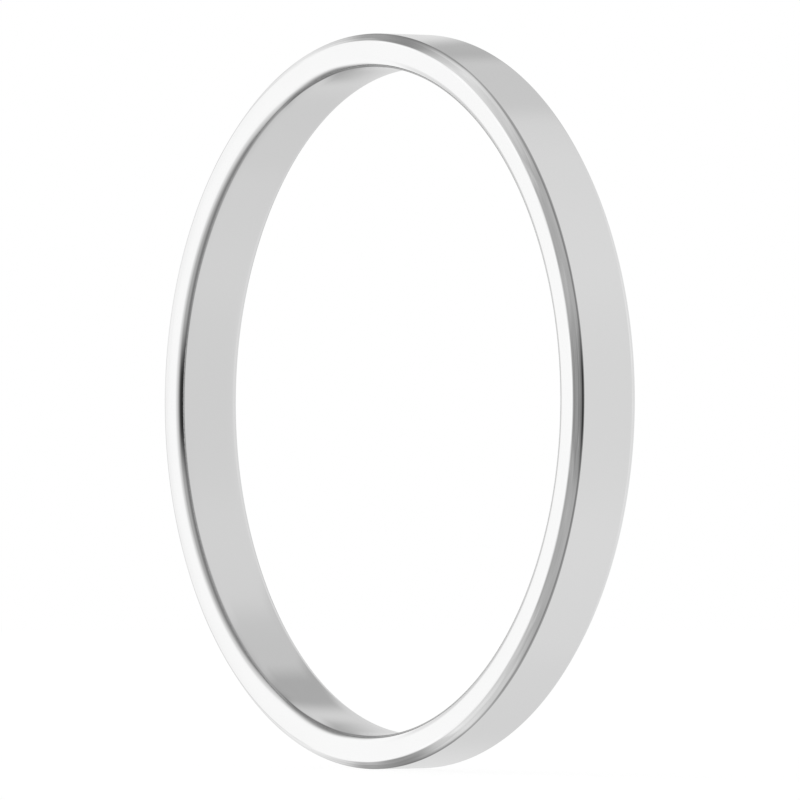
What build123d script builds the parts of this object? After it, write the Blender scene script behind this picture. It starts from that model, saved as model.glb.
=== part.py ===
"""A plain wedding band: flat outside, bevelled outer edges, rounded inner edges. Millimetres.

The band stands upright on its rim. The finger goes through it along Y, +Z is up, and the
origin is the middle of the finger hole. A seamless band is one piece of metal, turned from
a tube, so the model is one solid of revolution.
"""

from build123d import *
import os

# Driving dimensions
BORE_DIAMETER = 17.7  # inside diameter: US size 7.5, inner circumference 55.6
WIDTH = 2.0  # along the finger
WALL = 0.9  # from the bore to the outer face, at the middle of the width
LAND = 1.0  # the straight middle of the bore, which carries the ring size
EASE = 0.05  # how far the bore has opened out at each side face, in a curve from the land
BEVEL = 0.21  # each leg of the 45 degree bevel along both outer edges
COMFORT_RADIUS = 0.18  # rounding of both inner edges, which lets the band pass a knuckle
CREASE_RADIUS = 0.1  # what polishing leaves of the four corners beside the bevels

BORE_RADIUS = BORE_DIAMETER / 2
OUTER_RADIUS = BORE_RADIUS + WALL
MOUTH_RADIUS = BORE_RADIUS + EASE
HALF_WIDTH = WIDTH / 2


def band_section():
    """The cross-section in the XY plane: X is the radius and Y runs along the finger."""
    with BuildSketch(Plane.XY) as section:
        with BuildLine():
            land = Line((BORE_RADIUS, -LAND / 2), (BORE_RADIUS, LAND / 2))
            TangentArc(land @ 1, (MOUTH_RADIUS, HALF_WIDTH), tangent=land % 1)
            TangentArc(land @ 0, (MOUTH_RADIUS, -HALF_WIDTH), tangent=-(land % 0))
            Polyline(
                (MOUTH_RADIUS, HALF_WIDTH),
                (OUTER_RADIUS, HALF_WIDTH),
                (OUTER_RADIUS, -HALF_WIDTH),
                (MOUTH_RADIUS, -HALF_WIDTH),
            )
        make_face()
        chamfer(section.vertices().group_by(Axis.X)[-1], BEVEL)
        mouth_corners = section.vertices().group_by(Axis.X)[1]
        fillet(mouth_corners, COMFORT_RADIUS)
        bevel_corners = section.vertices().filter_by(
            lambda corner: corner.X > OUTER_RADIUS - 1.5 * BEVEL
        )
        fillet(bevel_corners, CREASE_RADIUS)
    return section.sketch


def make_band():
    """The whole band: its cross-section turned once round the finger axis."""
    with BuildPart() as band:
        add(band_section())
        revolve(axis=Axis.Y)
    band.part.label = "band"
    return band.part


os.makedirs("parts", exist_ok=True)
export_step(make_band(), "parts/band.step")
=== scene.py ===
"""Dresses the wedding band and lights it as a jewellery photograph. Metres, in the CAD frame."""

import math

import bmesh
import bpy
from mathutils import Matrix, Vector


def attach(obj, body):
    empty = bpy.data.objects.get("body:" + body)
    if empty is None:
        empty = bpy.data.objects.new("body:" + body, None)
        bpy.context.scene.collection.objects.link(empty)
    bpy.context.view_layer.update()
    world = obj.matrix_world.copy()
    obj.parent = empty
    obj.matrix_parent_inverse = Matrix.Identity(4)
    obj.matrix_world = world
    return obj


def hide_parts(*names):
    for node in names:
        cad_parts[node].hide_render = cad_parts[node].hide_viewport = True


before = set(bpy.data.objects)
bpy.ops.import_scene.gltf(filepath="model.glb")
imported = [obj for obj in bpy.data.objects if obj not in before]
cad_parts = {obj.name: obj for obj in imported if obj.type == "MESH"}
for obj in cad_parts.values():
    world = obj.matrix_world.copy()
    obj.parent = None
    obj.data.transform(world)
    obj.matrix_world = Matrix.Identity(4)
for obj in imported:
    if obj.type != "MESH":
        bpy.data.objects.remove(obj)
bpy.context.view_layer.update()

MM = 0.001

# The band's main dimensions, in millimetres as in the CAD source
BORE_R = 8.85
OUTER_R = BORE_R + 0.9
HALF_WIDTH = 1.0
LAND = 1.0  # the straight middle of the bore
BEVEL = 0.21
FACE_CREASE_R = 0.1
# The polished edges, a few hundredths softer than the CAD's
EASE = 0.03  # how far the bore has opened out at each side face
COMFORT_R = 0.24
RIM_CREASE_R = 0.13
FACE_TURN = 1.0  # degrees that polishing has domed the side faces and the bevels, each way
BEVEL_TURN = 1.5

SEGMENTS = 720  # round the ring
ARC_STEPS = 16  # in each rounded edge

# The light tent, by direction from the band: x from left (-1) to right (1), y towards the back.
# Brightness of its front and back walls, as (x, level). The front wall is read at x + 0.5 z^2,
# so that it darkens towards its top and foot too.
FRONT_WALL = [
    (-0.95, 0.66), (-0.88, 0.85), (-0.83, 1.05), (-0.32, 1.04),
    (-0.16, 0.94), (0.0, 0.79), (0.25, 0.67), (0.5, 0.45),
]
BACK_WALL = [
    (-0.93, 0.98), (-0.8, 0.76), (-0.5, 0.7), (-0.1, 0.715), (0.15, 0.74), (0.6, 0.755), (0.85, 0.73),
]
# The darker gap between them: where its front and its back lie, as (x, 1 + y), how softly each
# ends, and as (x, level) how much of the walls' light it leaves
GAP_FRONT = [
    (-0.89, 1.15), (-0.82, 0.87), (-0.72, 0.62), (-0.62, 0.62), (-0.5, 0.7),
    (-0.3, 0.95), (0.0, 0.75), (0.4, 0.58), (1.0, 0.55),
]
GAP_BACK = [(-0.3, 1.46), (0.4, 1.4), (0.9, 1.3)]
GAP_FRONT_SOFT = 0.25
GAP_BACK_SOFT = 0.08
GAP_LEVEL = [
    (-1.0, 0.95), (-0.92, 0.9), (-0.88, 0.66), (-0.82, 0.43), (-0.68, 0.28),
    (-0.5, 0.45), (-0.3, 0.55), (0.2, 0.5), (0.57, 0.47), (1.0, 0.42),
]
# The dark opening that the photograph is taken through: degrees, and the light that it takes
OPENING_AZIMUTH = 66
OPENING_ACROSS = (12, 44)  # half its width where it is dark, and where it has faded out
OPENING_UP = (6, 26)
OPENING_TAKES = 0.88


def arc(centre, radius, start, end, steps=ARC_STEPS):
    """Points and outward normals along a rounded edge of the section: (radius, along finger)."""
    made = []
    for i in range(steps + 1):
        a = math.radians(start + (end - start) * i / steps)
        n = (math.cos(a), math.sin(a))
        made.append(((centre[0] + radius * n[0], centre[1] + radius * n[1]), n))
    return made


def dome(before, after, facing, turn):
    """The hand-polished flat between two rounded edges, which turns by a few degrees."""
    (x0, y0), (x1, y1) = before[-1][0], after[0][0]
    radius = math.dist((x0, y0), (x1, y1)) / (2 * math.sin(math.radians(turn)))
    depth = radius * math.cos(math.radians(turn))
    a = math.radians(facing)
    centre = ((x0 + x1) / 2 - depth * math.cos(a), (y0 + y1) / 2 - depth * math.sin(a))
    return arc(centre, radius, facing - turn, facing + turn)[1:-1]


def section():
    """The closed cross-section, from the middle of the bore round its front, with its normals."""
    h, r = HALF_WIDTH, OUTER_R
    corner_run = math.tan(math.radians(22.5))  # from a corner to where a radius of 1 starts
    # The bore eases out along an arc that leaves the land straight
    run = h - LAND / 2
    ease_r = (run * run + EASE * EASE) / (2 * EASE)
    ease_x, ease_y = BORE_R + ease_r, -LAND / 2
    # The rounded inner edge touches that arc and the side face from inside the metal
    edge_y = -h + COMFORT_R
    edge_x = ease_x - math.sqrt((ease_r - COMFORT_R) ** 2 - (edge_y - ease_y) ** 2)
    tilt = math.degrees(math.atan2(edge_y - ease_y, edge_x - ease_x)) % 360
    ease = arc((ease_x, ease_y), ease_r, 180, tilt)[:-1]
    edge = arc((edge_x, edge_y), COMFORT_R, tilt, 270 - FACE_TURN)
    inner = (r - BEVEL - FACE_CREASE_R * corner_run, -h + FACE_CREASE_R)
    inner = arc(inner, FACE_CREASE_R, 270 + FACE_TURN, 315 - BEVEL_TURN)
    outer = (r - RIM_CREASE_R, -h + BEVEL + RIM_CREASE_R * corner_run)
    outer = arc(outer, RIM_CREASE_R, 315 + BEVEL_TURN, 360)
    front = ease + edge + dome(edge, inner, 270, FACE_TURN)
    front += inner + dome(inner, outer, 315, BEVEL_TURN) + outer
    back = [((p[0], -p[1]), (n[0], -n[1])) for p, n in reversed(front)]
    return front + back


def new_object(name, bm):
    mesh = bpy.data.meshes.new(name)
    bm.to_mesh(mesh)
    bm.free()
    obj = bpy.data.objects.new(name, mesh)
    bpy.context.scene.collection.objects.link(obj)
    return obj


def lathe(name, profile):
    """Turns the section round the finger axis, +Y, with exact normals from the section."""
    bm = bmesh.new()
    rings, normals = [], []
    for (radius, y), (nr, ny) in profile:
        ring = []
        for s in range(SEGMENTS):
            a = 2 * math.pi * s / SEGMENTS
            ring.append(bm.verts.new((radius * MM * math.cos(a), y * MM, radius * MM * math.sin(a))))
            normals.append((nr * math.cos(a), ny, nr * math.sin(a)))
        rings.append(ring)
    for i, ring in enumerate(rings):
        after = rings[(i + 1) % len(rings)]
        for s in range(SEGMENTS):
            t = (s + 1) % SEGMENTS
            bm.faces.new((ring[s], ring[t], after[t], after[s]))
    bmesh.ops.recalc_face_normals(bm, faces=bm.faces)
    obj = new_object(name, bm)
    obj.data.shade_smooth()
    obj.data.normals_split_custom_set_from_vertices(normals)
    return obj


class Nodes:
    """A small helper that adds and links shader nodes."""

    def __init__(self, tree):
        self.tree = tree
        tree.nodes.clear()

    def add(self, kind, **values):
        node = self.tree.nodes.new(kind)
        for key, value in values.items():
            setattr(node, key, value)
        return node

    def put(self, socket, value):
        if isinstance(value, bpy.types.NodeSocket):
            self.tree.links.new(value, socket)
        else:
            socket.default_value = value

    def math(self, operation, a, b=0.0, c=0.0):
        node = self.add("ShaderNodeMath", operation=operation)
        for socket, value in zip(node.inputs, (a, b, c)):
            self.put(socket, value)
        return node.outputs[0]

    def product(self, *factors):
        result = factors[0]
        for factor in factors[1:]:
            result = self.math("MULTIPLY", result, factor)
        return result

    def split(self, vector):
        node = self.add("ShaderNodeSeparateXYZ")
        self.put(node.inputs[0], vector)
        return node.outputs

    def place(self):
        return self.add("ShaderNodeTexCoord").outputs["Object"]

    def noise(self, vector, scale, detail):
        node = self.add("ShaderNodeTexNoise")
        self.put(node.inputs["Vector"], vector)
        self.put(node.inputs["Scale"], scale)
        self.put(node.inputs["Detail"], detail)
        return node.outputs["Fac"]

    def smooth(self, value, low, high, to_low, to_high):
        """From to_low, at low, to to_high, at high, along an S-shaped curve."""
        node = self.add("ShaderNodeMapRange", interpolation_type="SMOOTHSTEP")
        for key, number in (
            ("Value", value),
            ("From Min", low),
            ("From Max", high),
            ("To Min", to_low),
            ("To Max", to_high),
        ):
            self.put(node.inputs[key], number)
        return node.outputs["Result"]

    def bell(self, value, centre, core, edge):
        """1 within core of the centre, fading to 0 at edge from it."""
        distance = self.math("ABSOLUTE", self.math("SUBTRACT", value, centre))
        return self.smooth(distance, core, edge, 1.0, 0.0)

    def ramp(self, value, stops):
        """A smooth curve through (x, brightness) stops, for x from -1 to 1."""
        node = self.add("ShaderNodeValToRGB")
        node.color_ramp.interpolation = "EASE"
        elements = node.color_ramp.elements
        while len(elements) < len(stops):
            elements.new(0.5)
        for element, (x, level) in zip(elements, stops):
            element.position = (x + 1) / 2
            element.color = (level, level, level, 1)
        self.put(node.inputs[0], self.math("MULTIPLY_ADD", value, 0.5, 0.5))
        return node.outputs[0]

    def for_camera(self, others, camera):
        """One shader for the camera's rays and one for all others."""
        node = self.add("ShaderNodeMixShader")
        self.put(node.inputs[0], self.add("ShaderNodeLightPath").outputs["Is Camera Ray"])
        self.put(node.inputs[1], others)
        self.put(node.inputs[2], camera)
        return node.outputs[0]


def new_material(name):
    """A material, its empty nodes, and the socket that its surface goes into."""
    material = bpy.data.materials.new(name)
    material.use_nodes = True
    n = Nodes(material.node_tree)
    return material, n, n.add("ShaderNodeOutputMaterial").inputs["Surface"]


def polished_metal():
    """White precious metal: lathe-turned, then polished, so it keeps faint turning lines."""
    # Features per metre of the turning lines, of how they drift, and of the haze
    line_scale, drift_scale, haze_scale = 12000.0, 300.0, 500.0
    drift_reach = 0.5
    line_depth = 0.01
    faint, added_on_bevel = 0.05, 0.4  # how strongly the lines' depth shows
    # how strongly the lines' colour is painted: painted shade in their troughs, painted highlight on
    # their crests
    painted_line_shading_strength = 0.35
    # the inside's tone is lowered as painted shade inside the ring; the outside's is the metal's own
    painted_shade_inside_tone, outside_tone = 0.84, 0.9
    smoothest, roughest = 0.07, 0.11

    material, n, surface = new_material("polished_white_metal")
    shader = n.add("ShaderNodeBsdfPrincipled")
    shader.inputs["Metallic"].default_value = 1.0
    n.put(surface, shader.outputs[0])

    place = n.place()
    x, y, z = n.split(place)
    radius = n.math("SQRT", n.math("ADD", n.math("MULTIPLY", x, x), n.math("MULTIPLY", z, z)))

    # Turning lines run round the ring, and slowly give way to others as they go
    turned = n.add("ShaderNodeCombineXYZ")
    drift = n.math("MULTIPLY", n.noise(place, drift_scale, 2.0), drift_reach * MM)
    for socket, value in zip(turned.inputs, (radius, y, drift)):
        n.put(socket, value)
    lines = n.noise(turned.outputs[0], line_scale, 1.0)
    # They show most on the bevels, where radius + |y| peaks
    ridge = n.math("ADD", radius, n.math("ABSOLUTE", y))
    peak = OUTER_R + HALF_WIDTH - BEVEL
    on_bevel = n.smooth(ridge, (peak - 0.05) * MM, (peak - 0.01) * MM, 0.0, 1.0)
    bump = n.add("ShaderNodeBump")
    n.put(bump.inputs["Height"], lines)
    n.put(bump.inputs["Strength"], n.math("MULTIPLY_ADD", on_bevel, added_on_bevel, faint))
    n.put(bump.inputs["Distance"], line_depth * MM)
    n.put(shader.inputs["Normal"], bump.outputs[0])

    # The inside's base colour is a shade darker, as painted shade inside the ring, and the lines get
    # painted shade in their troughs and a painted highlight on their crests
    start, end = (BORE_R + 0.03) * MM, (BORE_R + 0.12) * MM
    tone = n.smooth(radius, start, end, painted_shade_inside_tone, outside_tone)
    # Painted shade in the lines' troughs and painted highlight on their crests, on the bevels
    painted_line_shading = n.math("MULTIPLY", n.math("SUBTRACT", lines, 0.5), on_bevel)
    n.put(shader.inputs["Base Color"], n.math("MULTIPLY_ADD", painted_line_shading, painted_line_shading_strength, tone))

    haze = n.noise(place, haze_scale, 4.0)
    n.put(shader.inputs["Roughness"], n.smooth(haze, 0.3, 0.7, smoothest, roughest))
    return material


def direction(azimuth, elevation):
    """Unit vector: azimuth 0 is -Y, turning towards +X."""
    a, e = math.radians(azimuth), math.radians(elevation)
    return (math.sin(a) * math.cos(e), -math.cos(a) * math.cos(e), math.sin(e))


def studio_world():
    """White for the camera. For light and reflections it is a light tent: a front wall that
    is brightest at the left, a back wall, a darker gap between them, and a dark opening."""
    world = bpy.data.worlds.new("studio")
    bpy.context.scene.world = world
    world.use_nodes = True
    n = Nodes(world.node_tree)
    out = n.add("ShaderNodeOutputWorld")
    x, y, z = n.split(n.add("ShaderNodeTexCoord").outputs["Generated"])

    front = n.ramp(n.math("MULTIPLY_ADD", n.math("MULTIPLY", z, z), 0.5, x), FRONT_WALL)
    # The back wall is a tenth brighter straight behind the band
    back = n.math("MULTIPLY", n.ramp(x, BACK_WALL), n.smooth(y, 0.6, 0.9, 1.0, 1.1))
    # Beside the band the front wall gives way to the back wall
    share = n.smooth(y, -0.2, 0.15, 0.0, 1.0)
    walls = n.math(
        "ADD",
        n.math("MULTIPLY", front, n.math("SUBTRACT", 1.0, share)),
        n.math("MULTIPLY", back, share),
    )

    # How far a direction lies behind the front side of the gap, and behind its back side
    depth = n.math("ADD", y, 1.0)
    into = n.math("SUBTRACT", depth, n.ramp(x, GAP_FRONT))
    beyond = n.math("SUBTRACT", depth, n.ramp(x, GAP_BACK))
    inside = n.math(
        "MULTIPLY",
        n.smooth(into, -GAP_FRONT_SOFT, GAP_FRONT_SOFT, 0.0, 1.0),
        n.smooth(beyond, -GAP_BACK_SOFT, GAP_BACK_SOFT, 1.0, 0.0),
    )
    dimming = n.math("SUBTRACT", n.ramp(x, GAP_LEVEL), 1.0)
    level = n.math("MULTIPLY", walls, n.math("MULTIPLY_ADD", inside, dimming, 1.0))

    azimuth = n.math("ARCTAN2", x, n.math("MULTIPLY", y, -1.0))
    elevation = n.math("ARCSINE", z)
    opening = n.math(
        "MULTIPLY",
        n.bell(azimuth, math.radians(OPENING_AZIMUTH), *map(math.radians, OPENING_ACROSS)),
        n.bell(elevation, 0.0, *map(math.radians, OPENING_UP)),
    )
    level = n.math("MULTIPLY", level, n.math("MULTIPLY_ADD", opening, -OPENING_TAKES, 1.0))

    studio = n.add("ShaderNodeBackground")
    n.put(studio.inputs["Color"], level)
    white = n.add("ShaderNodeBackground")
    n.put(white.inputs["Color"], (1, 1, 1, 1))
    n.put(out.inputs["Surface"], n.for_camera(studio.outputs[0], white.outputs[0]))


def floor():
    """A pale floor that the band stands on. It fades into the white behind."""
    radius, sides = 200.0, 64
    reflects, glows = (0.2, 0.2, 0.2, 1), (0.9, 0.9, 0.9, 1)
    bm = bmesh.new()
    ring = []
    for s in range(sides):
        a = 2 * math.pi * s / sides
        place = (radius * MM * math.cos(a), radius * MM * math.sin(a), -OUTER_R * MM)
        ring.append(bm.verts.new(place))
    bm.faces.new(ring)
    obj = new_object("floor", bm)
    material, n, surface = new_material("floor")
    lit = n.add("ShaderNodeBsdfDiffuse")
    n.put(lit.inputs["Color"], reflects)
    glow = n.add("ShaderNodeEmission")
    n.put(glow.inputs["Color"], glows)
    both = n.add("ShaderNodeAddShader")
    n.put(both.inputs[0], lit.outputs[0])
    n.put(both.inputs[1], glow.outputs[0])
    clear = n.add("ShaderNodeBsdfTransparent")
    n.put(surface, n.for_camera(clear.outputs[0], both.outputs[0]))
    obj.data.materials.append(material)


def unseen_sheet(name, corners, stopped):
    """A sheet that the camera doesn't see. stopped makes the share of other light that it stops."""
    bm = bmesh.new()
    bm.faces.new([bm.verts.new([c * MM for c in corner]) for corner in corners])
    obj = new_object(name, bm)
    material, n, surface = new_material(name)
    stops = stopped(n, *n.split(n.place()))
    unseen = n.math("SUBTRACT", 1.0, n.add("ShaderNodeLightPath").outputs["Is Camera Ray"])
    sheet = n.add("ShaderNodeBsdfTransparent")
    n.put(sheet.inputs["Color"], n.math("SUBTRACT", 1.0, n.math("MULTIPLY", stops, unseen)))
    n.put(surface, sheet.outputs[0])
    obj.data.materials.append(material)


def veil():
    """A thin grey cloth hung behind the band, high at its left. It only shows in the polish."""
    left, right, foot, top, behind = -29.0, 4.0, 10.0, 45.0, 22.0
    lean = 0.4  # how far left the fold goes for each step up
    fold, hem = (-10.0, -3.0), (-4.0, right)  # across which the cloth thins, to the right
    through_fold, through_hem = 0.75, 0.88  # the light that gets through it before each
    foot_fade, left_fade = 7.0, 5.0

    def stopped(n, x, _, z):
        across = n.math("MULTIPLY_ADD", z, lean, x)
        folded = n.smooth(across, fold[0] * MM, fold[1] * MM, through_fold, 1.0)
        hemmed = n.smooth(x, hem[0] * MM, hem[1] * MM, through_hem, 1.0)
        return n.product(
            n.math("SUBTRACT", 1.0, n.math("MULTIPLY", folded, hemmed)),
            n.smooth(z, foot * MM, (foot + foot_fade) * MM, 0.0, 1.0),
            n.smooth(x, left * MM, (left + left_fade) * MM, 0.0, 1.0),
        )

    rim = ((left, foot), (right, foot), (right, top), (left, top))
    unseen_sheet("veil", [(x, behind, z) for x, z in rim], stopped)


def cards():
    """Two small grey cards at the band's left, above and below its middle, seen in its edges."""
    beside, near, far, half = -11.0, 1.0, 8.0, 9.0
    side_fade = 2.0
    start, full, waning = 1.6, 4.2, 5.5  # heights from the middle, where the grey changes
    darkest = 0.4

    def stopped(n, _, y, z):
        height = n.math("ABSOLUTE", z)
        return n.product(
            n.smooth(height, start * MM, full * MM, 0.0, darkest),
            n.smooth(height, waning * MM, half * MM, 1.0, 0.0),
            n.smooth(y, near * MM, (near + side_fade) * MM, 0.0, 1.0),
            n.smooth(y, (far - side_fade) * MM, far * MM, 1.0, 0.0),
        )

    rim = ((near, -half), (far, -half), (far, half), (near, half))
    unseen_sheet("cards", [(beside, y, z) for y, z in rim], stopped)


def camera():
    """A long lens, level with the band and 55 degrees round from its side."""
    azimuth, elevation = 55.34, -0.42
    # Its distance, and where it aims beside the band's centre, by the band's outer radius
    distance = 24.6 * OUTER_R * MM
    aim_right, aim_up = 0.0200 * OUTER_R * MM, 0.0038 * OUTER_R * MM
    back = Vector(direction(azimuth, elevation))
    right = Vector((math.cos(math.radians(azimuth)), math.sin(math.radians(azimuth)), 0))
    up = back.cross(right)
    data = bpy.data.cameras.new("camera")
    data.lens = 406.4
    data.sensor_width = 36
    data.clip_start = 0.01
    data.clip_end = 5
    obj = bpy.data.objects.new("camera", data)
    obj.location = aim_right * right + aim_up * up + distance * back
    obj.rotation_euler = (-back).to_track_quat("-Z", "Y").to_euler()
    bpy.context.scene.collection.objects.link(obj)
    bpy.context.scene.camera = obj


bpy.context.scene.view_settings.view_transform = "Standard"

band = lathe("polished_band", section())
band.data.materials.append(polished_metal())
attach(band, "root")
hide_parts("band")

studio_world()
floor()
veil()
cards()
camera()
